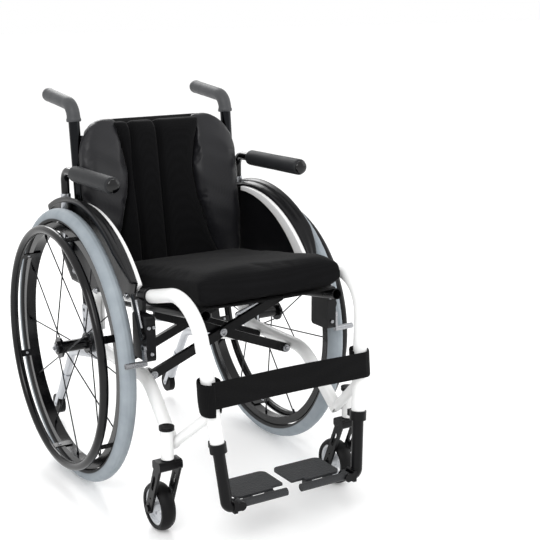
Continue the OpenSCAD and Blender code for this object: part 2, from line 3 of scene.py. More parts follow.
import bmesh
import bpy
import numpy as np
from mathutils import Matrix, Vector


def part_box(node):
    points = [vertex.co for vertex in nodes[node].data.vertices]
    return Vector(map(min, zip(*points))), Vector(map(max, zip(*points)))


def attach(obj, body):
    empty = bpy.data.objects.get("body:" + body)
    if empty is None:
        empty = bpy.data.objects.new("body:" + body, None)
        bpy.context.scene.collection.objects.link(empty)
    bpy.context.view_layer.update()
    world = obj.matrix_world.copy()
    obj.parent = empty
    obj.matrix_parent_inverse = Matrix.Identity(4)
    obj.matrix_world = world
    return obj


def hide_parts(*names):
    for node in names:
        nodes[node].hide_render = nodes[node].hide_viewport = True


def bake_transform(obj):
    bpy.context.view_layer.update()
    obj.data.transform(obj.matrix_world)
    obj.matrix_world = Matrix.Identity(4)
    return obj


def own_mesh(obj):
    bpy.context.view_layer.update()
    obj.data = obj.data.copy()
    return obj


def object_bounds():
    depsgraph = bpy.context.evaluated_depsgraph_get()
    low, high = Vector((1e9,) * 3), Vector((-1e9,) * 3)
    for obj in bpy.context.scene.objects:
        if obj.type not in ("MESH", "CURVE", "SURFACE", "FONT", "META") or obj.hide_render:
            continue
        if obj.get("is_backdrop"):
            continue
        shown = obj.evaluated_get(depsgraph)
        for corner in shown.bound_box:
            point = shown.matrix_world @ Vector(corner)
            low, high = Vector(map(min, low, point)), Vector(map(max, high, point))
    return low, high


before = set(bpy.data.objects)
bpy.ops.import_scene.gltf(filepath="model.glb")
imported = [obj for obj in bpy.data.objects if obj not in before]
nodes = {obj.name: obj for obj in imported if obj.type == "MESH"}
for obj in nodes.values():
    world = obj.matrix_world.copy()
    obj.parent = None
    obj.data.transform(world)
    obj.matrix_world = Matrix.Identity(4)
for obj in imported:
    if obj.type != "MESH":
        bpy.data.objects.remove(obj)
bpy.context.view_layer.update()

# ---- studio ----
# A pale seamless floor under a soft box at the front, on the user's right, a weaker one on the other side
# and a third behind. The camera stands in front of the chair, to the user's right, and looks down on it.
FLOOR_SIZE = 90.0
floor_mesh = bpy.data.meshes.new("studio_floor")
corner = FLOOR_SIZE / 2
floor_corners = [(-corner, -corner, 0), (corner, -corner, 0), (corner, corner, 0), (-corner, corner, 0)]
floor_mesh.from_pydata(floor_corners, [], [(0, 1, 2, 3)])
studio_floor = bpy.data.objects.new("studio_floor", floor_mesh)
bpy.context.scene.collection.objects.link(studio_floor)
studio_floor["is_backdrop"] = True

world = bpy.data.worlds.new("studio")
world.use_nodes = True
world.node_tree.nodes["Background"].inputs[0].default_value = (1.0, 1.0, 1.0, 1.0)
world.node_tree.nodes["Background"].inputs[1].default_value = 1.0
bpy.context.scene.world = world
bpy.context.scene.view_settings.view_transform = "Standard"


def soft_box(name, place, aim, size, watts):
    """A square area light at place, turned to face aim."""
    light = bpy.data.lights.new(name, "AREA")
    light.energy = watts
    light.size = size
    lamp = bpy.data.objects.new(name, light)
    lamp.location = place
    toward = np.array(place) - np.array(aim)
    tip = math.atan2(math.hypot(*toward[:2]), toward[2])
    lamp.rotation_euler = (tip, 0, math.atan2(toward[1], toward[0]) + math.pi / 2)
    bpy.context.scene.collection.objects.link(lamp)


soft_box("key", (-2.2, -2.4, 3.0), (0, 0, 0.4), 2.0, 60)
soft_box("fill", (3.0, -1.5, 1.8), (0, 0, 0.4), 2.5, 22)
soft_box("back_strip", (0.8, 3.0, 2.4), (0, 0, 0.5), 1.6, 45)

camera_data = bpy.data.cameras.new("camera")
camera_data.sensor_width = 36
camera_data.lens = 73.45
camera_data.shift_x = 0.1017
camera_data.shift_y = 0.0278
camera = bpy.data.objects.new("camera", camera_data)
azimuth, elevation, roll = math.radians(-29.32), math.radians(14.14), math.radians(-0.94)
camera.matrix_world = (Matrix.Translation((-1.1194, -2.1210, 1.0258)) @ Matrix.Rotation(azimuth, 4, "Z")
                       @ Matrix.Rotation(math.pi / 2 - elevation, 4, "X") @ Matrix.Rotation(roll, 4, "Z"))
bpy.context.scene.collection.objects.link(camera)
bpy.context.scene.camera = camera

# ---- side frames, cross brace and the other bare tubes ----
# Aluminium tube, welded, blasted and powder coated: white side frames, satin black brace, castor forks and
# footrests, and gloss black armrest tubes and brake levers.
# Powder coat flows out to a soft gloss with a faint orange peel of about 1.5 mm.


def linear(hex_colour):
    """An sRGB colour such as "1d1d1f" as linear RGBA."""
    c = np.array([int(hex_colour[i:i + 2], 16) / 255 for i in (0, 2, 4)])
    c = np.where(c <= 0.04045, c / 12.92, ((c + 0.055) / 1.055) ** 2.4)
    return (*c.tolist(), 1.0)


def add(material, kind, inputs, **settings):
    """Adds a node to the material: its settings, then its inputs, each a value or another node's output."""
    node = material.node_tree.nodes.new(kind)
    for key, value in settings.items():
        setattr(node, key, value)
    for key, value in inputs.items():
        if isinstance(value, bpy.types.NodeSocket):
            material.node_tree.links.new(value, node.inputs[key])
        else:
            node.inputs[key].default_value = value
    return node


def start(name, colour, roughness, **sockets):
    """A new material with constants on its Principled shader, and the piece's Object coordinates."""
    material = bpy.data.materials.new(name)
    material.use_nodes = True
    shader = material.node_tree.nodes["Principled BSDF"]
    for key, value in {"Base Color": linear(colour), "Roughness": roughness, **sockets}.items():
        shader.inputs[key].default_value = value
    place = add(material, "ShaderNodeTexCoord", {}).outputs["Object"]
    return material, shader, place


def link(material, socket, target):
    material.node_tree.links.new(socket, target)


def powder_coat(name, colour, shade, roughness, peel_mm=1.5, coat=0.25, shine=0.5):
    """Baked powder: one colour drifting slowly towards shade, a fine peel in the gloss, a clear top."""
    material, shader, place = start(name, colour, roughness, **{"Coat Weight": coat, "Coat Roughness": 0.12,
                                                                       "Specular IOR Level": shine})
    drift = add(material, "ShaderNodeTexNoise", {"Vector": place, "Scale": 9.0, "Detail": 4.0})
    mix = add(material, "ShaderNodeMix", {"Factor": drift.outputs["Fac"]}, data_type="RGBA")
    mix.inputs["A"].default_value = linear(colour)
    mix.inputs["B"].default_value = linear(shade)
    link(material, mix.outputs["Result"], shader.inputs["Base Color"])
    peel = add(material, "ShaderNodeTexNoise", {"Vector": place, "Scale": 1000 / peel_mm, "Detail": 2.0})
    bump = add(material, "ShaderNodeBump", {"Height": peel.outputs["Fac"], "Strength": 0.12,
                                            "Distance": 0.0004})
    link(material, bump.outputs["Normal"], shader.inputs["Normal"])
    rough = add(material, "ShaderNodeMapRange", {"Value": drift.outputs["Fac"], "To Min": roughness * 0.85,
                                                 "To Max": roughness * 1.25})
    link(material, rough.outputs["Result"], shader.inputs["Roughness"])
    return material


def brushed_metal(name, colour, shade, roughness, grain_mm=0.8, stretch=(1.0, 1.0, 14.0)):
    """Drawn or turned metal: fine lines across the short way of stretch, a little darker in places."""
    material, shader, place = start(name, colour, roughness, Metallic=1.0)
    lines = add(material, "ShaderNodeMapping", {"Vector": place, "Scale": tuple(1 / s for s in stretch)})
    grain = add(material, "ShaderNodeTexNoise", {"Vector": lines.outputs["Vector"], "Scale": 1000 / grain_mm,
                                                 "Detail": 3.0})
    mix = add(material, "ShaderNodeMix", {"Factor": grain.outputs["Fac"]}, data_type="RGBA")
    mix.inputs["A"].default_value = linear(colour)
    mix.inputs["B"].default_value = linear(shade)
    link(material, mix.outputs["Result"], shader.inputs["Base Color"])
    rough = add(material, "ShaderNodeMapRange", {"Value": grain.outputs["Fac"], "To Min": roughness * 0.7,
                                                 "To Max": roughness * 1.5})
    link(material, rough.outputs["Result"], shader.inputs["Roughness"])
    bump = add(material, "ShaderNodeBump", {"Height": grain.outputs["Fac"], "Strength": 0.1,
                                            "Distance": 0.0002})
    link(material, bump.outputs["Normal"], shader.inputs["Normal"])
    return material


def moulded(name, colour, shade, roughness, grain_mm=1.2, depth_mm=0.15, strength=0.35, shine=0.3):
    """Moulded plastic or rubber: the mould's fine eroded grain, and handling marks that change the gloss."""
    material, shader, place = start(name, colour, roughness, **{"Specular IOR Level": shine})
    grain = add(material, "ShaderNodeTexVoronoi", {"Vector": place, "Scale": 1000 / grain_mm},
                feature="SMOOTH_F1")
    marks = add(material, "ShaderNodeTexNoise", {"Vector": place, "Scale": 28.0, "Detail": 6.0,
                                                 "Roughness": 0.65})
    mix = add(material, "ShaderNodeMix", {"Factor": marks.outputs["Fac"]}, data_type="RGBA")
    mix.inputs["A"].default_value = linear(colour)
    mix.inputs["B"].default_value = linear(shade)
    link(material, mix.outputs["Result"], shader.inputs["Base Color"])
    rough = add(material, "ShaderNodeMapRange", {"Value": marks.outputs["Fac"], "To Min": roughness * 0.8,
                                                 "To Max": min(1.0, roughness * 1.2)})
    link(material, rough.outputs["Result"], shader.inputs["Roughness"])
    bump = add(material, "ShaderNodeBump", {"Height": grain.outputs["Distance"], "Strength": strength,
                                            "Distance": depth_mm / 1000})
    link(material, bump.outputs["Normal"], shader.inputs["Normal"])
    return material


def woven(name, colour, shade, thread_mm, roughness, sheen, depth_mm=0.3, shine=0.12):
    """Woven or knitted cloth: threads of thread_mm cross in all three directions, with slow shading."""
    material, shader, place = start(name, colour, roughness, **{"Sheen Weight": sheen, "Sheen Roughness": 0.4,
                                                                       "Specular IOR Level": shine})
    # a wave texture repeats every 2 pi / 20 of a scale unit
    wave_scale = 2 * math.pi / 20 / (thread_mm / 1000)
    waves = [add(material, "ShaderNodeTexWave", {"Vector": place, "Scale": wave_scale, "Distortion": 0.6,
                                                 "Detail": 1.0},
                 bands_direction=axis, wave_profile="SIN").outputs["Fac"] for axis in "XYZ"]
    weave = add(material, "ShaderNodeMath", {0: waves[0], 1: waves[1]}, operation="ADD").outputs[0]
    weave = add(material, "ShaderNodeMath", {0: weave, 1: waves[2]}, operation="ADD").outputs[0]
    drift = add(material, "ShaderNodeTexNoise", {"Vector": place, "Scale": 14.0, "Detail": 5.0})
    weave_share = add(material, "ShaderNodeMapRange", {"Value": weave, "From Min": 0.4, "From Max": 2.6})
    factor = add(material, "ShaderNodeMath", {0: weave_share.outputs["Result"], 1: drift.outputs["Fac"]},
                 operation="MULTIPLY")
    mix = add(material, "ShaderNodeMix", {"Factor": factor.outputs[0]}, data_type="RGBA")
    mix.inputs["A"].default_value = linear(colour)
    mix.inputs["B"].default_value = linear(shade)
    link(material, mix.outputs["Result"], shader.inputs["Base Color"])
    bump = add(material, "ShaderNodeBump", {"Height": weave, "Strength": 0.4, "Distance": depth_mm / 1000})
    link(material, bump.outputs["Normal"], shader.inputs["Normal"])
    return material


def dress(material, *names):
    """Gives CAD nodes, on both sides of the chair, this material."""
    for name in names:
        for node in (name, name + "_left", name + "_right"):
            if node in nodes:
                nodes[node].data.materials.clear()
                nodes[node].data.materials.append(material)


white_powder = powder_coat("white_powder_coat", "f3f3f1", "e6e7e8", 0.28)
black_powder = powder_coat("satin_black_powder_coat", "070708", "0d0d0f", 0.27, coat=0.0, shine=0.16)
gloss_black = powder_coat("gloss_black_enamel", "040405", "080809", 0.12, peel_mm=3, coat=0.0, shine=0.3)
dress(white_powder, "side_frame")
dress(black_powder, "cross_arm_a", "cross_arm_b", "castor_fork", "footrest_tube")
dress(gloss_black, "armrest_tube", "brake_lever")

# ---- bright metal parts ----
# Turned and drawn aluminium or steel: axle plates, armrest sockets, fold links, anti-tip tubes, lock shoes
# and axle pins. The back canes are black chrome, and the castor rims are lacquered silver.
bright_aluminium = brushed_metal("satin_anodised_aluminium", "c9cbce", "aaadb2", 0.28)
turned_steel = brushed_metal("turned_steel", "b4b5b8", "86888c", 0.25, stretch=(14.0, 1.0, 1.0))
dark_chrome = brushed_metal("black_chrome_tube", "2a2b2d", "18191b", 0.12, stretch=(1.0, 1.0, 20.0))
castor_silver = powder_coat("silver_lacquered_nylon", "dfe1e4", "c6c9cd", 0.25)
dress(bright_aluminium, "axle_plate", "armrest_socket", "fold_link", "anti_tip_tube")
dress(castor_silver, "castor_rim")
dress(turned_steel, "axle_pin", "axle_button", "brake_shoe")
dress(dark_chrome, "back_cane")

# ---- wheels ----
# Black anodised rims and flanged hubs on dark steel spokes, with black coated handrims and grey tyres.
# The castors and the anti-tip wheels have hard black tyres.
black_anodised = powder_coat("black_anodised_aluminium", "030304", "08080a", 0.16, peel_mm=2, coat=0.0,
                             shine=0.3)
dark_spoke = brushed_metal("black_oxide_steel", "2b2c2f", "17181a", 0.3)
hard_rubber = moulded("hard_black_rubber", "070708", "101011", 0.5, shine=0.15)
dress(black_anodised, "rear_rim", "hub", "handrim")
dress(dark_spoke, "spokes")
dress(hard_rubber, "castor_tyre", "anti_tip_wheel")


def quads(rows, columns, wrap_rows=False, wrap_columns=False):
    """The quads of a grid of points, numbered row by row, closed on itself where it wraps."""
    r = np.arange(rows if wrap_rows else rows - 1)[:, None]
    c = np.arange(columns if wrap_columns else columns - 1)[None, :]
    r2, c2 = (r + 1) % rows, (c + 1) % columns
    four = [r * columns + c, r * columns + c2, r2 * columns + c2, r2 * columns + c]
    return np.stack(four, -1).reshape(-1, 4)


def piece_of(name, points, faces, material, side=1):
    """A smooth mesh from points and faces, on the user's left, or mirrored to the right for side -1."""
    points = np.asarray(points, float).reshape(-1, 3) * (side, 1, 1)
    faces = [list(f) if side > 0 else list(f)[::-1] for f in faces]
    mesh = bpy.data.meshes.new(name)
    mesh.from_pydata(points.tolist(), [], faces)
    mesh.materials.append(material)
    mesh.polygons.foreach_set("use_smooth", [True] * len(mesh.polygons))
    mesh.validate()
    made = bpy.data.objects.new(name, mesh)
    bpy.context.scene.collection.objects.link(made)
    return made


def recalculated(piece, merge=0.00002):
    """Merges the seams and poles of a closed piece and turns its faces outwards."""
    bm = bmesh.new()
    bm.from_mesh(piece.data)
    bmesh.ops.remove_doubles(bm, verts=bm.verts, dist=merge)
    bmesh.ops.recalc_face_normals(bm, faces=bm.faces)
    bm.to_mesh(piece.data)
    bm.free()
    return piece


def tyre_rubber():
    """Non-marking grey tread over a black sidewall: the colour changes with the distance from the axle.

    The tyre's axle runs along X, so that distance is the length of (0, y - axle y, z - axle z).
    """
    material, shader, place = start("grey_tread_rubber", "8f979d", 0.6)
    centred = add(material, "ShaderNodeVectorMath", {0: place, 1: (0.0, -axle.y, -axle.z)}, operation="ADD")
    flat = add(material, "ShaderNodeVectorMath", {0: centred.outputs[0], 1: (0.0, 1.0, 1.0)},
               operation="MULTIPLY")
    far = add(material, "ShaderNodeVectorMath", {0: flat.outputs[0]}, operation="LENGTH").outputs["Value"]
    share = add(material, "ShaderNodeMapRange", {"Value": far, "From Min": tyre_r - 0.0225,
                                                 "From Max": tyre_r - 0.0205})
    dust = add(material, "ShaderNodeTexNoise", {"Vector": place, "Scale": 30.0, "Detail": 6.0})
    tread = add(material, "ShaderNodeMix", {"Factor": dust.outputs["Fac"]}, data_type="RGBA")
    tread.inputs["A"].default_value = linear("9da5ab")
    tread.inputs["B"].default_value = linear("7d868d")
    mix = add(material, "ShaderNodeMix", {"Factor": share.outputs["Result"]}, data_type="RGBA")
    mix.inputs["A"].default_value = linear("141517")
    link(material, tread.outputs["Result"], mix.inputs["B"])
    link(material, mix.outputs["Result"], shader.inputs["Base Color"])
    skin = add(material, "ShaderNodeTexNoise", {"Vector": place, "Scale": 700.0, "Detail": 2.0})
    bump = add(material, "ShaderNodeBump", {"Height": skin.outputs["Fac"], "Strength": 0.2,
                                            "Distance": 0.0003})
    link(material, bump.outputs["Normal"], shader.inputs["Normal"])
    return material


tyre_low, tyre_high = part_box("rear_tyre_left")
axle = (tyre_low + tyre_high) / 2
tyre_r = (tyre_high.z - tyre_low.z) / 2
section_r = (tyre_high.x - tyre_low.x) / 2 - 0.0004
grey_rubber = tyre_rubber()
steps, round_steps = 300, 44
around = np.linspace(0, 2 * math.pi, steps, endpoint=False)[:, None]
# the section starts and ends at the rim's edges, below the tyre's widest point
bow = np.linspace(-math.radians(128), math.radians(128), round_steps)[None, :]
# three grooves run round the tread, and short cuts cross its shoulders
groove = sum(np.exp(-((bow - at) / 0.055) ** 2) for at in (-0.42, 0.0, 0.42)) * 0.0011
cuts = 0.0007 * (np.sin(around * 75) > 0.55) * (np.abs(bow) > 0.5) * (np.abs(bow) < 1.0)
radius = tyre_r - section_r + (section_r - groove - cuts) * np.cos(bow)
across = axle.x + (section_r - groove - cuts) * np.sin(bow)
tyre_points = np.stack([across + 0 * around, axle.y + radius * np.sin(around),
                        axle.z + radius * np.cos(around)], -1)
tyre_faces = quads(steps, round_steps, True, True)
for side_name, side in (("left", 1), ("right", -1)):
    tyre = recalculated(piece_of("tyre_" + side_name, tyre_points, tyre_faces, grey_rubber, side))
    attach(tyre, "wheel_" + side_name)
    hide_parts("rear_tyre_" + side_name)


def turned(name, base, axis, profile, material, side=1, steps=40):
    """A turned piece: profile gives (distance along the axis from base, radius), and both ends meet the axis.

    A point is base + distance * axis + radius * (cos t * across + sin t * third).
    """
    axis = np.array(axis, float) / np.linalg.norm(axis)
    across = np.cross(axis, (0, 0, 1) if abs(axis[2]) < 0.9 else (1, 0, 0))
    across = across / np.linalg.norm(across)
    third = np.cross(axis, across)
    profile = np.array([(profile[0][0], 0.0)] + list(profile) + [(profile[-1][0], 0.0)])
    turn = np.linspace(0, 2 * math.pi, steps, endpoint=False)[None, :, None]
    ring = np.cos(turn) * across + np.sin(turn) * third
    points = np.array(base) + profile[:, 0, None, None] * axis + profile[:, 1, None, None] * ring
    return recalculated(piece_of(name, points, quads(len(profile), steps, False, True), material, side))


def joined(name, parts):
    """One piece from several, in the first one's place."""
    bpy.ops.object.select_all(action="DESELECT")
    for part in parts:
        part.select_set(True)
    bpy.context.view_layer.objects.active = parts[0]
    bpy.ops.object.join()
    parts[0].name = name
    return parts[0]


# Bright screws at the handrim's six tabs and dark nipples where the twelve spokes meet the rim.
rim_low, rim_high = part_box("rear_rim_left")
rim_bed = (rim_high.z - rim_low.z) / 2 - 0.017
SCREW_HEAD = [(-0.001, 0.0034), (0.0008, 0.0034), (0.0016, 0.0026), (0.0017, 0.0012), (0.0007, 0.0011)]
NIPPLE = [(0, 0.003), (0.004, 0.003), (0.006, 0.0019), (0.014, 0.0018)]
TABS, SPOKES = 6, 12
for side_name, side in (("left", 1), ("right", -1)):
    screws = []
    for i in range(TABS):
        turn = math.radians(360 / TABS * i + 12)
        inward = np.array([0, math.sin(turn), -math.cos(turn)])
        spot = np.array([axle.x + 0.022, axle.y, axle.z]) - inward * (rim_bed - 0.0036)
        screws.append(turned(f"screw_{i}", spot, inward, SCREW_HEAD, turned_steel, side, 20))
    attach(joined("handrim_screws_" + side_name, screws), "wheel_" + side_name)
    nipples = []
    for i in range(SPOKES):
        turn = math.radians(360 / SPOKES * i)
        inward = np.array([0, -math.sin(turn), -math.cos(turn)])
        spot = np.array([axle.x, axle.y, axle.z]) - inward * (rim_bed + 0.001)
        nipples.append(turned(f"nipple_{i}", spot, inward, NIPPLE, dark_spoke, side, 12))
    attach(joined("spoke_nipples_" + side_name, nipples), "wheel_" + side_name)

# ---- side guards ----
# A moulded black panel with a mudguard rim that hangs over the tyre, and a lacquered white strip on its
# inner face. The rim has a crease along its middle.
plate_x = 0.2063
guard_r = 0.312
guard_plastic = moulded("black_abs", "0a0a0c", "131315", 0.3, grain_mm=0.9, depth_mm=0.1, strength=0.25,
                        shine=0.22)
white_gloss = powder_coat("white_lacquer", "f6f6f5", "ececec", 0.16, peel_mm=4, coat=0.5)
front_turn, rear_turn = math.radians(143.5), math.radians(59.2)
sweep = np.linspace(0, 1, 90)
turn = front_turn + (rear_turn - front_turn) * sweep
# the rim's outer face as (x from the panel, height over guard_r), then the same way back inside it
rim_section = np.array([(0.0, 0.0), (0.001, 0.004), (0.005, 0.0065), (0.012, 0.0085), (0.0165, 0.0100),
                        (0.0180, 0.0121), (0.0200, 0.0128), (0.0260, 0.0150), (0.0300, 0.0158),
                        (0.0316, 0.0148), (0.0320, 0.0120), (0.0320, 0.0040), (0.0305, 0.0035),
                        (0.0298, 0.0110), (0.0260, 0.0122), (0.0200, 0.0100), (0.0120, 0.0058),
                        (0.0050, 0.0038), (0.0022, 0.0010), (0.0022, -0.0030), (0.0, -0.0030)])
# both ends run out: the rim gets narrower over the last stretch
narrow = 0.45 + 0.55 * np.clip(np.minimum(sweep / 0.16, (1 - sweep) / 0.05), 0, 1) ** 0.6
flange_x = plate_x + rim_section[None, :, 0] * narrow[:, None]
flange_r = guard_r + rim_section[None, :, 1] * narrow[:, None]
flange = np.stack([flange_x, axle.y + flange_r * np.cos(turn)[:, None],
                   axle.z + flange_r * np.sin(turn)[:, None]], -1)


def bar_faces(rows, ring):
    """The faces of a bar of rows rings, with ring points each, and its two end faces."""
    last = (rows - 1) * ring
    return quads(rows, ring, False, True).tolist() + [list(range(ring))[::-1], list(range(last, last + ring))]


def skin_faces(rows, columns):
    """The faces of two grids, one behind the other, and the band that joins them round their edge."""
    one = quads(rows, columns)
    total = rows * columns
    edge = np.concatenate([np.arange(columns), np.arange(1, rows) * columns + columns - 1,
                           (rows - 1) * columns + np.arange(columns - 2, -1, -1),
                           np.arange(rows - 2, 0, -1) * columns])
    after = np.roll(edge, -1)
    band = np.stack([edge, after, after + total, edge + total], -1)
    return np.concatenate([one, one[:, ::-1] + total, band])


flange_faces = bar_faces(len(turn), len(rim_section))
# the panel: from its lower edge up to the rim, 3 mm thick, with a raised field
low_edge = np.array([(-0.236, 0.459), (-0.030, 0.4295), (0.096, 0.4295), (0.150, 0.482), (0.1625, 0.575)])
low_at = np.array([0.0, 0.52, 0.80, 0.93, 1.0])
low_y = np.interp(sweep, low_at, low_edge[:, 0]) + axle.y
low_z = np.interp(sweep, low_at, low_edge[:, 1])
rise = np.linspace(0, 1, 24)
top_y = axle.y + guard_r * np.cos(turn)
top_z = axle.z + guard_r * np.sin(turn)
panel_y = low_y[:, None] + (top_y - low_y)[:, None] * rise
panel_z = low_z[:, None] + (top_z - low_z)[:, None] * rise
field = np.clip(np.minimum(rise[None, :] / 0.12, (1 - rise[None, :]) / 0.16), 0, 1)
field = field * np.clip(np.minimum(sweep / 0.07, (1 - sweep) / 0.07), 0, 1)[:, None]
bulge = 0.0016 * field * field * (3 - 2 * field)
outer_skin = np.stack([plate_x + 0.0026 + bulge, panel_y, panel_z], -1)
inner_skin = np.stack([plate_x + 0.0002 + bulge * 0.6, panel_y, panel_z], -1)
panel = np.concatenate([outer_skin.reshape(-1, 3), inner_skin.reshape(-1, 3)])
panel_faces = skin_faces(len(sweep), len(rise))
# the white strip: a crescent against the panel's inner face, wide at the front and thin at the top
strip_turn = np.linspace(math.radians(144.2), math.radians(86), 70)
strip_wide = np.interp(strip_turn, [math.radians(86), math.radians(144.2)], [0.010, 0.032])
STRIP_T = 0.0095
STRIP_CORNER = 0.0018
RING_POINTS = 20


def soft_ring(width, height, r):
    """A rectangle's outline from (0, 0), with its four corners rounded to r, as RING_POINTS points."""
    quarter = np.linspace(0, math.pi / 2, RING_POINTS // 4)
    spots = [(width - r, height - r, 0), (r, height - r, 1), (r, r, 2), (width - r, r, 3)]
    return np.concatenate([np.stack([cx + r * np.cos(quarter + k * math.pi / 2),
                                     cy + r * np.sin(quarter + k * math.pi / 2)], -1) for cx, cy, k in spots])


strip_rows = np.stack([soft_ring(STRIP_T, w, STRIP_CORNER) for w in strip_wide])
strip_r = guard_r + 0.0005 - strip_wide[:, None] + strip_rows[:, :, 1]
strip = np.stack([plate_x - 0.0002 - strip_rows[:, :, 0], axle.y + strip_r * np.cos(strip_turn)[:, None],
                  axle.z + strip_r * np.sin(strip_turn)[:, None]], -1)
strip_faces = bar_faces(len(strip_turn), RING_POINTS)
GUARD_BOLT = [(0, 0.0075), (0.0012, 0.0075), (0.0022, 0.0055), (0.0052, 0.0052), (0.0062, 0.0042),
              (0.0062, 0.002), (0.0035, 0.002)]
GUARD_BOLTS = ((-0.205, 0.4572), (-0.045, 0.4340), (0.07, 0.455))
for side_name, side in (("left", 1), ("right", -1)):
    body = "frame_" + side_name
    guard_rim = recalculated(piece_of("guard_rim_" + side_name, flange, flange_faces, guard_plastic, side))
    guard_panel = recalculated(piece_of("guard_panel_" + side_name, panel, panel_faces, guard_plastic, side))
    guard_strip = recalculated(piece_of("guard_strip_" + side_name, strip, strip_faces, white_gloss, side))
    for part in (guard_rim, guard_panel, guard_strip):
        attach(part, body)
    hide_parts("side_guard_" + side_name)
    bolts = [turned(f"bolt_{i}", (plate_x + 0.0026, axle.y + y, z), (1, 0, 0), GUARD_BOLT, turned_steel,
                    side, 24)
             for i, (y, z) in enumerate(GUARD_BOLTS)]
    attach(joined("guard_bolts_" + side_name, bolts), body)

# ---- armrests ----
# A foam sleeve over the tube with rounded ends, and a glossy black plug in the tube's open front end.
foam = moulded("grey_pu_foam", "1c1d1f", "27282a", 0.6, grain_mm=2.2, depth_mm=0.35, strength=0.45,
               shine=0.25)
plug_gloss = powder_coat("glossy_black_nylon", "020203", "050506", 0.06, peel_mm=5, coat=0.0, shine=0.4)
for side_name, side in (("left", 1), ("right", -1)):
    low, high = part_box("armrest_pad_left")
    pad_r = (high.z - low.z) / 2
    pad_z = (high.z + low.z) / 2
    front = np.array([high.x - pad_r, low.y, pad_z])
    rear = np.array([low.x + pad_r, high.y, pad_z])
    along = rear - front
    length = np.linalg.norm(along)
    t = np.linspace(0, math.pi / 2, 9)
    edge = 0.007
    ends = np.stack([edge - edge * np.cos(t), pad_r - edge + edge * np.sin(t)], -1)
    # the sleeve is a little thinner at its middle
    waist = [(length * k, pad_r * w) for k, w in ((0.25, 1.0), (0.5, 0.985), (0.75, 1.0))]
    profile = np.concatenate([ends, waist, np.stack([length - ends[::-1, 0], ends[::-1, 1]], -1)])
    pad = turned("armrest_foam_" + side_name, front, along, profile, foam, side, 48)
    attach(pad, "armrest_" + side_name)
    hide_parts("armrest_pad_" + side_name)
    dome = np.linspace(0, math.pi / 2 - 0.05, 10)
    cap = [(0.002, 0.0125)] + [(-0.0055 * math.sin(a) - 0.0003, 0.0145 * math.cos(a)) for a in dome]
    plug = turned("armrest_plug_" + side_name, front, along, cap[::-1], plug_gloss, side, 40)
    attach(plug, "armrest_" + side_name)


# ---- push handles ----
# Grey rubber grips drawn over the cane's bend, with a rolled lip at the lower end and rings towards the
# tip.
def swept(name, path, radii, material, side=1, steps=32, upright=(1, 0, 0)):
    """A round tube along path, with a radius for each point and closed ends.

    A point is path + radius * (cos t * across + sin t * third), with both of those square to the path.
    """
    path, radii = np.asarray(path, float), np.asarray(radii, float)
    ahead = np.gradient(path, axis=0)
    ahead /= np.linalg.norm(ahead, axis=1)[:, None]
    across = np.cross(ahead, upright)
    across /= np.linalg.norm(across, axis=1)[:, None]
    third = np.cross(ahead, across)
    turn = np.linspace(0, 2 * math.pi, steps, endpoint=False)[None, :, None]
    ring = np.cos(turn) * across[:, None] + np.sin(turn) * third[:, None]
    points = path[:, None] + radii[:, None, None] * ring
    first, last = np.repeat(path[:1, None], steps, 1), np.repeat(path[-1:, None], steps, 1)
    points = np.concatenate([first, points, last])
    return recalculated(piece_of(name, points, quads(len(points), steps, False, True), material, side))


def rounded_path(points, bend, per=14):
    """The points as a path, with its one corner rounded to the bend radius by an arc."""
    a, b, c = (np.array(p, float) for p in points)
    u, v = (b - a) / np.linalg.norm(b - a), (c - b) / np.linalg.norm(c - b)
    angle = math.acos(float(u @ v))
    cut = bend * math.tan(angle / 2)
    centre = b - u * cut + bend * (v - (u @ v) * u) / np.linalg.norm(v - (u @ v) * u)
    t = np.linspace(0, angle, per)[:, None]
    arc = centre + (b - u * cut - centre) * np.cos(t) + u * bend * np.sin(t)
    return np.concatenate([a + (arc[0] - a) * np.linspace(0, 1, per)[:-1, None], arc,
                           arc[-1] + (c - arc[-1]) * np.linspace(0, 1, 30)[1:, None]])


grip_rubber = moulded("grey_grip_rubber", "4a4b4d", "3a3b3d", 0.5, grain_mm=1.6, depth_mm=0.25, strength=0.35)
cane_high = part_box("back_cane_left")[1]
cane_x = cane_high.x - 0.0126
grip_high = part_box("push_grip_left")[1]
tip_slope = math.radians(6)
tip = np.array([cane_x, grip_high.y - 0.0015, grip_high.z - 0.0150])
lean = math.radians(5)
corner = tip - np.array([0, 0.1452 * math.cos(tip_slope), 0.1452 * math.sin(tip_slope)]) * 1.02
foot = corner - 0.036 * np.array([0, math.sin(lean), math.cos(lean)])
path = rounded_path((foot, corner, tip), 0.032)
far = np.concatenate([[0], np.cumsum(np.linalg.norm(np.diff(path, axis=0), axis=1))])
total = far[-1]
# a rolled lip at the foot, a low ring near the tip, and three finer rings ahead of it
radii = 0.0149 + 0.0018 * np.exp(-((far - 0.004) / 0.004) ** 2)
radii += 0.0009 * np.exp(-((far - total + 0.010) / 0.006) ** 2)
ringed = (far > total - 0.05) * (far < total - 0.02)
radii += 0.0006 * np.exp(-((np.mod(far, 0.009) - 0.0045) / 0.0022) ** 2) * ringed
radii[-1] = 0.0135
for side_name, side in (("left", 1), ("right", -1)):
    grip = swept("hand_grip_" + side_name, path, radii, grip_rubber, side)
    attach(grip, "frame_" + side_name)
    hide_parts("push_grip_" + side_name)

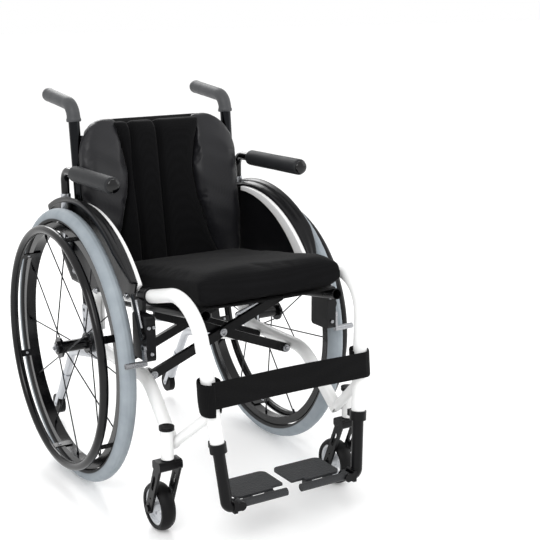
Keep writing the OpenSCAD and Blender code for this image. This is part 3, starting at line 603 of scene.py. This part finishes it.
# ---- wheel locks ----
# Glass-filled nylon bodies clamped to the seat tube by two bolts, with a steel shoe and a black lever.
lock_plastic = moulded("glass_filled_nylon", "08080a", "111113", 0.38, grain_mm=1.0, depth_mm=0.12, shine=0.2)
dress(lock_plastic, "brake_mount")
mount_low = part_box("brake_mount_left")[0]
BOLT_HEAD = [(-0.0004, 0.0038), (0.0026, 0.0038), (0.0034, 0.0031), (0.0034, 0.0016), (0.0012, 0.0015)]
pivot = np.array([0.2294, -0.2402, 0.402])
lever_up = np.array([0, 0.4167, 0.909])
lever_ahead = np.array([0, -0.909, 0.4167])
LOCK_BOLTS = ((0.2105, 0.420), (0.2215, 0.420), (0.216, 0.366))
LEVER_ROD = [(0, 0.0018), (0.0008, 0.0026), (0.0572, 0.0026), (0.058, 0.0018)]
for side_name, side in (("left", 1), ("right", -1)):
    bolts = [turned(f"bolt_{i}", (x, mount_low.y, z), (0, -1, 0), BOLT_HEAD, turned_steel, side, 24)
             for i, (x, z) in enumerate(LOCK_BOLTS)]
    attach(joined("lock_bolts_" + side_name, bolts), "frame_" + side_name)
    # the chrome rod along the lever's front edge
    rod = turned("lock_rod_" + side_name, pivot + 0.014 * lever_up + 0.008 * lever_ahead,
                 0.058 * lever_up - 0.001 * lever_ahead, LEVER_ROD, turned_steel, side, 24)
    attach(rod, "lock_lever_" + side_name)

# ---- cross brace bolts ----
# A bright shouldered bolt head closes each pivot of the brace on its front face.
PIVOT_HEAD = [(-0.0004, 0.0088), (0.0022, 0.0088), (0.003, 0.008), (0.003, 0.0052), (0.0012, 0.0045)]
for name, spot, body in (("brace_bolt_a", (-0.167, -0.1602, 0.287), "brace_a"),
                         ("brace_bolt_b", (0.167, -0.1501, 0.287), "brace_b"),
                         ("brace_bolt_centre", (0.0, -0.1602, 0.353), "brace_a")):
    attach(turned(name, spot, (0, -1, 0), PIVOT_HEAD, turned_steel, 1, 32), body)

# ---- footplates ----
# Compression-moulded composite plates, dark grey with a coarse grip texture.
plate_grey = moulded("grip_textured_composite", "252628", "333436", 0.55, grain_mm=3.2, depth_mm=0.9,
                     strength=0.9)
dress(plate_grey, "footplate")

# ---- seat ----
# Foam cushion in a black knitted cover, 68 mm thick, with a rounded front edge and two seams round its side
# band. It lies on a nylon sling that is stretched between the two seat rails.
knit = woven("black_spacer_knit", "050506", "121214", 2.4, 0.9, 0.04)
nylon = woven("black_nylon_webbing", "080809", "141416", 1.6, 0.7, 0.03)
cushion_low, cushion_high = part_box("seat_cushion")
tilt = math.radians(8.2)
CUSHION_T, CUSHION_D = 0.068, 0.440
half_w = (cushion_high.x - cushion_low.x) / 2
seat_start = np.array([0.0, cushion_low.y, cushion_high.z - CUSHION_T * math.cos(tilt)])


def on_seat(across, back, up):
    """A point of the seat: across from the middle, back from the front edge, up from the cushion's underside.

    The seat slopes down to the rear by tilt, so back and up turn by that angle round X.
    """
    y = seat_start[1] + back * math.cos(tilt) + up * math.sin(tilt)
    z = seat_start[2] - back * math.sin(tilt) + up * math.cos(tilt)
    return np.stack(np.broadcast_arrays(across, y, z), -1)


def pillow(across, along, power=7.0):
    """How full a pad is at across and along, each from -1 to 1: 0 at its edges and 1 over its middle.

    It is the product of (1 - |t| ** power) ** (1 / power) both ways.
    """
    full_across = np.clip(1 - np.abs(across) ** power, 0, 1) ** (1 / power)
    return full_across * np.clip(1 - np.abs(along) ** power, 0, 1) ** (1 / power)


def stuffed(piece, voxel, pressure, most):
    """Remeshes a closed piece, blows it up as cloth for 20 frames, and lets no point go further than most."""
    rebuild = piece.modifiers.new("even_mesh", "REMESH")
    rebuild.mode = "VOXEL"
    rebuild.voxel_size = voxel
    depsgraph = bpy.context.evaluated_depsgraph_get()
    even = bpy.data.meshes.new_from_object(piece.evaluated_get(depsgraph))
    piece.modifiers.clear()
    material = piece.data.materials[0]
    piece.data = even
    piece.data.materials.clear()
    piece.data.materials.append(material)
    before = np.empty(len(even.vertices) * 3)
    even.vertices.foreach_get("co", before)
    before = before.reshape(-1, 3)
    cloth = piece.modifiers.new("stuffing", "CLOTH")
    cloth.settings.quality = 5
    cloth.settings.mass = 0.3
    cloth.settings.use_pressure = True
    cloth.settings.uniform_pressure_force = pressure
    cloth.settings.effector_weights.gravity = 0
    cloth.point_cache.frame_start, cloth.point_cache.frame_end = 1, 20
    for number in range(1, 21):
        bpy.context.scene.frame_set(number)
    blown = bpy.data.meshes.new_from_object(piece.evaluated_get(bpy.context.evaluated_depsgraph_get()))
    after = np.empty(len(blown.vertices) * 3)
    blown.vertices.foreach_get("co", after)
    piece.modifiers.clear()
    bpy.context.scene.frame_set(1)
    moved = after.reshape(-1, 3) - before
    size = np.linalg.norm(moved, axis=1)[:, None]
    before = before + moved * np.minimum(1, most / np.maximum(size, 1e-9))
    even.vertices.foreach_set("co", before.ravel())
    even.polygons.foreach_set("use_smooth", [True] * len(even.polygons))
    return piece


def finer(piece):
    """Applies one level of subdivision and gives back the points."""
    smooth = piece.modifiers.new("finer", "SUBSURF")
    smooth.levels = smooth.render_levels = 1
    made = bpy.data.meshes.new_from_object(piece.evaluated_get(bpy.context.evaluated_depsgraph_get()))
    piece.modifiers.clear()
    piece.data = made
    points = np.empty(len(made.vertices) * 3)
    made.vertices.foreach_get("co", points)
    return points.reshape(-1, 3)


def reshape(piece, points):
    piece.data.vertices.foreach_set("co", np.asarray(points, float).ravel())
    piece.data.polygons.foreach_set("use_smooth", [True] * len(piece.data.polygons))
    piece.data.update()


def two_skins(name, full_side, flat_side, material, way=1):
    """A closed pad from two square grids that meet round their edge. way is -1 if its full side is the rear."""
    n = full_side.shape[0]
    points = np.concatenate([full_side.reshape(-1, 3), flat_side.reshape(-1, 3)])
    faces = np.concatenate([quads(n, n)[:, ::way], quads(n, n)[:, ::-way] + n * n])
    return recalculated(piece_of(name, points, faces, material), 0.0001)


def close_steps(n):
    """n steps from -1 to 1 that get closer towards both ends, down the rows and along the columns."""
    t = np.sin(np.linspace(-1, 1, n) * math.pi / 2)
    return t[:, None], t[None, :]


u, v = close_steps(61)
full = pillow(u, v)
cushion_across = u * (half_w - 0.003)
cushion_back = (v + 1) / 2 * (CUSHION_D - 0.006) + 0.003
top = on_seat(cushion_across, cushion_back, 0.030 + 0.032 * full)
under = on_seat(cushion_across, cushion_back, 0.030 - 0.0295 * full)
cushion = two_skins("cushion_cover", top, under, knit)
stuffed(cushion, 0.006, 4.0, 0.007)
points = finer(cushion)
# lay it down flat on the sling, and keep it inside its width
back = (points - seat_start) @ np.array([0, math.cos(tilt), -math.sin(tilt)])
up = (points - seat_start) @ np.array([0, math.sin(tilt), math.cos(tilt)])
across = np.clip(points[:, 0], -half_w - 0.001, half_w + 0.001)
back = np.clip(back, -0.002, CUSHION_D + 0.002)
# two seams run round it: the cover's panels are sewn together just above and below its side band
seam = 0.0016 * sum(np.exp(-((up - at) / 0.0028) ** 2) for at in (0.012, 0.057))
near_side = np.clip(np.maximum(np.abs(across) / half_w, np.abs(back / CUSHION_D * 2 - 1)) * 6 - 4.9, 0, 1)
across = across * (1 - seam * near_side / half_w)
# the top is a little uneven, as a cover over soft foam is
uneven = 0.0022 * np.exp(-((up - 0.062) / 0.01) ** 2) * np.sin(across * 31) * np.sin(back * 23) ** 2
up = np.maximum(up, 0.0008) - uneven
reshape(cushion, on_seat(across, back, up).reshape(-1, 3))
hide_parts("seat_cushion")
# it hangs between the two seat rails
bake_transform(cushion)

sling_low, sling_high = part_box("seat_sling")
s = np.linspace(-1, 1, 41)[:, None]
d = np.linspace(0, 1, 41)[None, :]
rail_x = sling_high.x - 0.011
sag = 0.0008 + 0.0035 * (1 - s ** 2)
wrap = np.clip((np.abs(s) * sling_high.x - rail_x) / 0.011, 0, 1)
sling_up = -0.0018 - sag - 0.010 * (1 - np.sqrt(1 - wrap ** 2 * 0.98))
sling_points = on_seat(s * sling_high.x, 0.010 + d * (sling_high.y - sling_low.y - 0.004), sling_up + 0 * d)
sling = piece_of("seat_sling_cloth", sling_points, quads(41, 41), nylon)
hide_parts("seat_sling")
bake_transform(sling)

# ---- back ----
# A padded black knit centre with three sewn channels, between side wings in satin grey cloth.
# The wings bulge forward at elbow height; a tension strap and a wrinkled cover close the rear.
satin = woven("grey_satin_polyester", "151518", "202024", 1.2, 0.38, 0.1, depth_mm=0.1, shine=0.32)
back_low, back_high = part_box("back_upholstery")
back_half = back_high.x
cane_foot = np.array([0.0, back_high.y - 0.012 - (back_high.z - back_low.z) * math.tan(lean), back_low.z])
BACK_H = (back_high.z - back_low.z)
CHANNELS = (-0.070, -0.006)


def on_back(across, up, ahead):
    """A point of the back: across from the middle, up from its lower edge, ahead of the canes' centre line.

    The back leans with the canes, so y moves back by up * tan(lean).
    """
    y = cane_foot[1] + up * math.tan(lean) - ahead
    return np.stack(np.broadcast_arrays(across, y, cane_foot[2] + up), -1)


def wing_edge(up):
    """Where a wing's inner edge lies: nearest the middle two thirds of the way up."""
    return np.interp(up, [0.0, 0.055, 0.12, 0.19, 0.245, 0.30, 0.37],
                     [0.150, 0.128, 0.104, 0.086, 0.080, 0.087, 0.100])


def pad_between(name, left_edge, right_edge, low_up, high_up, thick, rear, material, power=6.0):
    """A closed pad on the back between two edges that depend on height, fullest at its middle."""
    p, q = close_steps(57)
    height = low_up + (q + 1) / 2 * (high_up - low_up)
    across = left_edge(height) + (p + 1) / 2 * (right_edge(height) - left_edge(height))
    body = pillow(p, q, power)
    front = on_back(across, height, rear + thick(p, height) * (0.35 + 0.65 * body) * (body > 0))
    behind = on_back(across, height, rear + thick(p, height) * 0.35 * (1 - body))
    return two_skins(name, front, behind, material)


centre_pad = pad_between("back_centre_pad", lambda z: -wing_edge(z) - 0.006, lambda z: wing_edge(z) + 0.006,
                         0.006, BACK_H - 0.004, lambda p, z: 0.040 + 0 * p, -0.004, knit, power=8.0)
stuffed(centre_pad, 0.006, 4.0, 0.006)
points = finer(centre_pad)
height = points[:, 2] - cane_foot[2]
ahead = np.maximum(cane_foot[1] + height * math.tan(lean) - points[:, 1], -0.005)
front_share = np.clip((ahead - 0.012) / 0.015, 0, 1)
for at in CHANNELS:
    line = at + 0.010 * (1 - height / BACK_H)
    away = points[:, 0] - line
    dip = 0.013 * np.exp(-(away / 0.0055) ** 2) + 0.004 * np.exp(-(away / 0.018) ** 2)
    ahead -= dip * front_share
# the channels' tops puff up between the seams
lift = np.clip((height - BACK_H + 0.03) / 0.03, 0, 1)
for at in CHANNELS:
    height -= 0.008 * lift * np.exp(-((points[:, 0] - at) / 0.007) ** 2)
reshape(centre_pad, on_back(points[:, 0], height, ahead))
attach(centre_pad, "frame_right")
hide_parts("back_upholstery")
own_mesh(centre_pad)


def wing_thick(p, height):
    """A wing is fullest at elbow height and towards its outer edge, where its bolster is."""
    swell = np.interp(height, [0.0, 0.05, 0.14, 0.23, 0.31, 0.37], [0.030, 0.046, 0.056, 0.056, 0.045, 0.026])
    return swell * (0.72 + 0.28 * np.clip((p + 1) / 2, 0, 1))


# the wings reach over the canes' front faces
wing_half = back_half + 0.0165


def wing_outer(height):
    """A wing's outer edge: straight beside the cane, then rounded over in to the top."""
    short = np.clip((height - 0.26) / (BACK_H - 0.26), 0, 1)
    return wing_half - 0.080 * (1 - np.sqrt(1 - 0.985 * short ** 2.6))


for side_name, side in (("left", 1), ("right", -1)):
    if side > 0:
        wing = pad_between("back_wing_left", wing_edge, wing_outer, 0.006, BACK_H - 0.001, wing_thick,
                           -0.006, satin)
    else:
        wing = pad_between("back_wing_right", lambda z: -wing_outer(z), lambda z: -wing_edge(z), 0.006,
                           BACK_H - 0.001, lambda p, z: wing_thick(-p, z), -0.006, satin)
    stuffed(wing, 0.0055, 4.0, 0.006)
    points = finer(wing)
    height = points[:, 2] - cane_foot[2]
    ahead = cane_foot[1] + height * math.tan(lean) - points[:, 1]
    across = np.clip(points[:, 0], -wing_half, wing_half)
    ahead = np.maximum(ahead, -0.005 + 0.0195 * np.clip((np.abs(across) - back_half + 0.009) / 0.006, 0, 1))
    # faint drag lines where the cloth is pulled round the cane
    ahead += 0.0006 * np.sin(height * 120 + across * 60) * np.clip((ahead - 0.02) / 0.02, 0, 1)
    reshape(wing, on_back(across, height, ahead))
    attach(wing, "frame_right")
    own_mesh(wing)

# ---- bag on the back ----
# A grey cover closes the back's rear. On it hang two nylon pockets side by side, each under its own flap.
rear_grey = woven("grey_ripstop_polyester", "4a4a4e", "5a595e", 2.0, 0.6, 0.2, depth_mm=0.15)
bag_low, bag_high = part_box("back_bag")
COVER_FOOT, COVER_H = 0.012, BACK_H - 0.05
a = np.linspace(-1, 1, 81)[:, None]
b = np.linspace(0, 1, 71)[None, :]
cover_up = COVER_FOOT + b * COVER_H
wrinkle = 0.0016 * np.sin(a * 9 + b * 14 + 2 * np.sin(b * 5 + a * 3)) + 0.0012 * np.sin(a * 23 - b * 9 + 1.3)
fade = np.clip(np.minimum((1 - np.abs(a)) * 9, np.minimum(b * 12, (1 - b) * 12)), 0, 1)
cover_half = np.minimum(back_half - 0.004, wing_outer(cover_up) - 0.006)
cover_out = on_back(a * cover_half, cover_up, -0.0100 - wrinkle * fade)
rear_cover = piece_of("back_rear_cover", cover_out, quads(81, 71)[:, ::-1], rear_grey)
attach(rear_cover, "frame_right")
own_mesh(rear_cover)
bag_nylon = woven("black_bag_nylon", "0a0a0b", "161618", 1.5, 0.5, 0.06, depth_mm=0.15, shine=0.25)


def bag_pad(name, left, right, low, high, rear_low, rear_high, power):
    """A closed pocket on the rear of the back, between two distances behind the canes' centre line."""
    p, q = close_steps(45)
    body = pillow(p, q, power)
    across = (left + right) / 2 + p * (right - left) / 2
    height = low + (q + 1) / 2 * (high - low)
    outside = on_back(across, height, -(rear_low + (rear_high - rear_low) * body))
    inside = on_back(across, height, -rear_low)
    made = two_skins(name, outside, inside, bag_nylon, way=-1)
    return made


bag_from = bag_low.z - cane_foot[2]
bag_to = bag_high.z - cane_foot[2]
bag_half = bag_high.x
for name, left, right in (("bag_pocket_left", 0.010, bag_half - 0.004),
                          ("bag_pocket_right", -bag_half + 0.004, -0.010)):
    pocket = bag_pad(name, left, right, bag_from + 0.004, bag_to - 0.012, 0.0135, 0.048, 5.0)
    stuffed(pocket, 0.006, 3.0, 0.005)
    reshape(pocket, finer(pocket))
    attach(pocket, "frame_right")
    if name == "bag_pocket_left":
        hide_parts("back_bag")
    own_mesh(pocket)
    # the flap: a sheet about 2 mm thick over the pocket's upper part, with a bound edge
    p = np.linspace(-1, 1, 41)[:, None]
    q = np.linspace(0, 1, 31)[None, :]
    across = (left + right) / 2 + p * ((right - left) / 2 + 0.004)
    height = bag_to - 0.006 - 0.004 * np.abs(p) ** 3 - q * 0.085
    bulge = (1 - (1 - np.clip(q * 3.2, 0, 1)) ** 2) * (1 - 0.35 * np.abs(p) ** 6)
    out = 0.0150 + 0.038 * bulge + 0.0012 * np.sin(p * 7 + q * 3)
    bound = 0.0012 * (np.exp(-((1 - np.abs(p)) / 0.05) ** 2) + np.exp(-((1 - q) / 0.05) ** 2))
    flap_out = on_back(across, height, -(out + bound)).reshape(-1, 3)
    flap_in = on_back(across, height, -(out - 0.0022)).reshape(-1, 3)
    flap = recalculated(piece_of(name.replace("pocket", "flap"), np.concatenate([flap_out, flap_in]),
                                 skin_faces(41, 31), bag_nylon))
    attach(flap, "frame_right")
    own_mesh(flap)

# Two dark hook-and-loop patches on the rear cover above the bag, and a black fold of cloth at the back's
# top.
for name, left, right, low, high, out in (("rear_patch_wide", -0.142, -0.012, 0.262, 0.306, 0.0152),
                                          ("rear_patch_short", 0.030, 0.120, 0.250, 0.290, 0.0152),
                                          ("back_top_fold", -0.124, 0.124, BACK_H - 0.046,
                                           BACK_H - 0.006, 0.0140)):
    patch = bag_pad(name, left, right, low, high, out - 0.0045, out, 14.0)
    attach(patch, "frame_right")
    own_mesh(patch)

# ---- calf strap ----
# A wide black webbing strap between the front tubes. It is wrapped round the left one, and at the right a
# taller sleeve goes round the tube.
strap_low, strap_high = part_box("calf_strap")
STRAP_H = 0.052
# The strap's rings are 20.4 mm in outer radius, and the lean brings its lower edge 2.6 mm ahead of its
# middle.
STRAP_RING, STRAP_LEAN = 0.0204, 0.0026
front_lean = math.radians(5.8)
strap_mid = np.array([0.0, strap_low.y + STRAP_RING + STRAP_LEAN, (strap_low.z + strap_high.z) / 2])
tube_x = strap_high.x - STRAP_RING
webbing = woven("black_strap_webbing", "040405", "0f0f10", 3.0, 0.75, 0.02, depth_mm=0.6, shine=0.12)


def strap_piece(name, outline, body, thick=0.0028, high=STRAP_H, drop=0.0, flare=0.0):
    """A band along an outline of (x, y) points, leaning with the front tubes, with bound edges.

    flare moves its foot sideways, by that much at its lower edge and by none at mid height.
    """
    ahead = np.gradient(outline, axis=0)
    ahead /= np.linalg.norm(ahead, axis=1)[:, None]
    normal = np.stack([ahead[:, 1], -ahead[:, 0]], -1)
    h = np.linspace(-1, 1, 19)
    ring_h = np.concatenate([h, h[::-1]])
    to_edge = 1 - np.abs(ring_h)
    ring_out = np.concatenate([np.full(19, 0.5), np.full(19, -0.5)]) * thick
    ring_out = ring_out * (1 + 0.35 * np.exp(-(to_edge / 0.08) ** 2)) * np.clip((0.02 + to_edge) * 14, 0.3, 1)
    xy = outline[:, None] + normal[:, None] * ring_out[None, :, None]
    z = ring_h[None, :] * high / 2 - drop + 0 * xy[:, :, 0]
    xy = xy + normal[:, None] * (flare * np.clip(-ring_h, 0, 1) ** 2)[None, :, None]
    band = np.stack([xy[:, :, 0],
                     strap_mid[1] + xy[:, :, 1] * math.cos(front_lean) + z * math.sin(front_lean),
                     strap_mid[2] + xy[:, :, 1] * math.sin(front_lean) + z * math.cos(front_lean)], -1)
    made = recalculated(piece_of(name, band, bar_faces(len(outline), len(ring_h)), webbing))
    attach(made, body)
    return made


wrap_r = 0.0192
arc = np.linspace(math.radians(-90), math.radians(200), 60)
wrap_outline = np.stack([tube_x + wrap_r * np.cos(arc), wrap_r * np.sin(arc)], -1)
strap_piece("calf_strap_wrap_left", wrap_outline, "frame_left")
# the sleeve is the left wrap mirrored and made a sixth larger about the right tube
sleeve_outline = (wrap_outline[::-1] * (-1, 1) - (-tube_x, 0)) * 1.16 + (-tube_x, 0)
strap_piece("calf_strap_wrap_right", sleeve_outline, "frame_right", high=0.064, drop=0.010, flare=-0.003)
reach = np.linspace(-1, 1, 70)
middle = np.stack([reach * (tube_x + 0.004), -wrap_r - 0.0004 + 0.004 * (1 - reach ** 2) ** 2], -1)
strap = strap_piece("calf_strap_band", middle, "frame_right")
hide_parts("calf_strap")
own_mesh(strap)

# ---- floor finish ---- A near-white sheet floor that glows a little, so that it
# runs into the backdrop.
FLOOR_GLOW = {"Emission Color": (1.0, 1.0, 1.0, 1.0), "Emission Strength": 0.12}
pale_floor = start("pale_floor_sheet", "f6f6f6", 0.4, **FLOOR_GLOW)[0]
floor_mesh.materials.append(pale_floor)
low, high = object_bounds()
